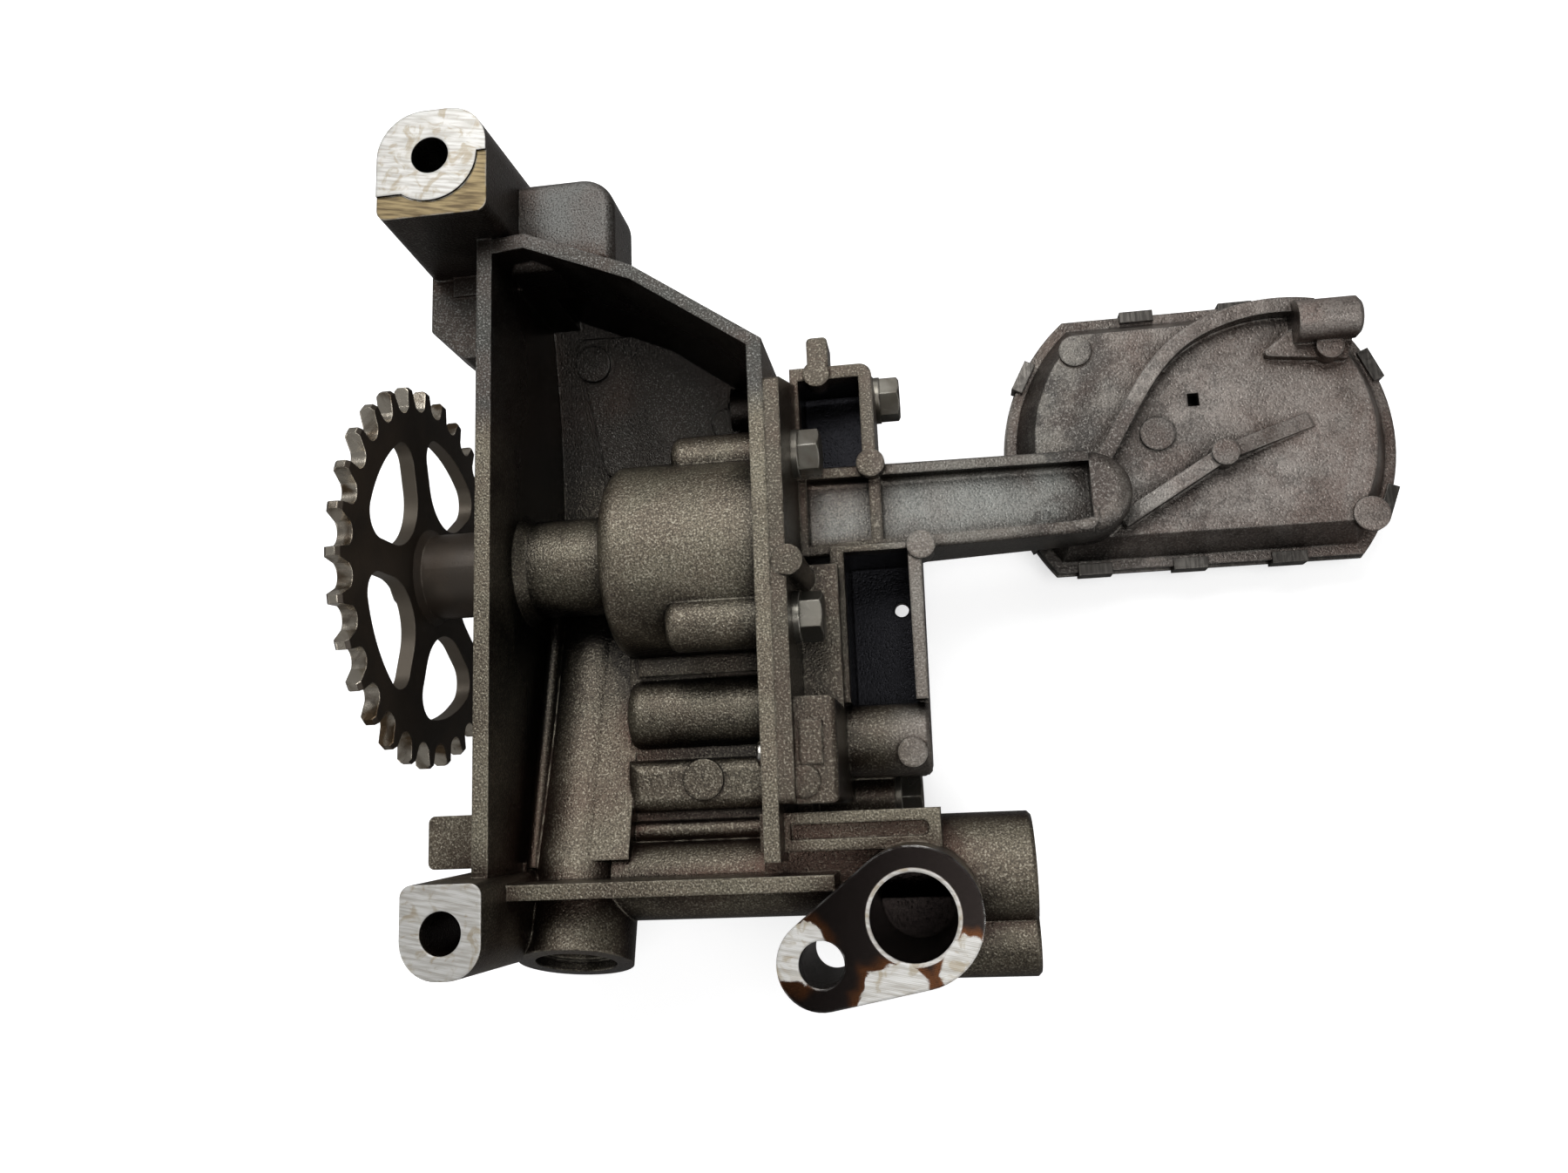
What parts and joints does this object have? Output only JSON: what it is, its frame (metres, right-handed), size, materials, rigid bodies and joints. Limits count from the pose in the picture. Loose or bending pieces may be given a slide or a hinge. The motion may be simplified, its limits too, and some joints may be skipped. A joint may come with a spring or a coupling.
{
  "type": "engine oil pump",
  "caption": "Chain-driven engine oil pump: cast frame with round rotor housing, chain sprocket on a long hub, relief valve, outlet flange, and a suction arm ending in a strainer bell.",
  "frame": {"origin": "centre of the front mounting hole at the machined mounting face", "axes": "+Z out of the mounting face, up to the crankcase; +X along the shaft from the sprocket to the suction bell; +Y from the front mounting hole to the rear one"},
  "size_m": [0.2499, 0.1985, 0.0932],
  "materials": {
    "body_casting": "sand-blasted die casting darkened by oil, machined faces bright",
    "cover_casting": "die casting darkened by oil, a little greyer than the body",
    "dark_sheet_steel": "dark oiled sheet steel",
    "screen_sheet": "perforated sheet steel",
    "zinc_bolts": "dull zinc plating with brown oil film",
    "hard_steel": "ground hardened steel",
    "bearing_bronze": "plain bearing bronze",
    "sprocket_steel": "dark sintered steel with worn bright teeth",
    "sintered_steel": "ground sintered steel",
    "spring_steel": "oiled spring steel",
    "seal_rubber": "oil-resistant rubber"
  },
  "bodies": {
    "pump": {"pump_body": "body_casting", "pump_cover": "cover_casting", "strainer_plate": "dark_sheet_steel", "strainer_screen": "screen_sheet", "cover_bolts": "zinc_bolts", "cover_washers": "zinc_bolts", "box_bolts": "zinc_bolts", "box_washers": "zinc_bolts", "joint_dowels": "hard_steel", "shaft_bushes": "bearing_bronze", "relief_sleeve": "hard_steel", "relief_o_ring": "seal_rubber", "relief_circlip": "spring_steel", "relief_spring": "spring_steel", "gallery_plug": "zinc_bolts"},
    "drive": {"drive_shaft": "hard_steel", "drive_sprocket": "sprocket_steel", "sprocket_washer": "zinc_bolts", "sprocket_nut": "zinc_bolts", "inner_rotor": "sintered_steel"},
    "ring": {"outer_rotor": "sintered_steel"},
    "piston": {"relief_piston": "hard_steel"}
  },
  "joints": [
    {"name": "drive_spin", "type": "hinge", "parent": "pump", "child": "drive", "pos_m": [0, 0.0812, -0.04], "axis": [1, 0, 0], "continuous": true},
    {"name": "ring_spin", "type": "hinge", "parent": "pump", "child": "ring", "pos_m": [0, 0.0812, -0.0416], "axis": [1, 0, 0], "continuous": true},
    {"name": "relief_slide", "type": "slide", "parent": "pump", "child": "piston", "axis": [0, -0.9455, 0.3256], "range_m": [0, 0.0125], "stiffness_N_per_m": 8000, "springref_m": -0.0125, "deforming": ["relief_spring"]}
  ],
  "couplings": [
    {"joint": "ring_spin", "follows": "drive_spin", "ratio": 0.85714}
  ]
}
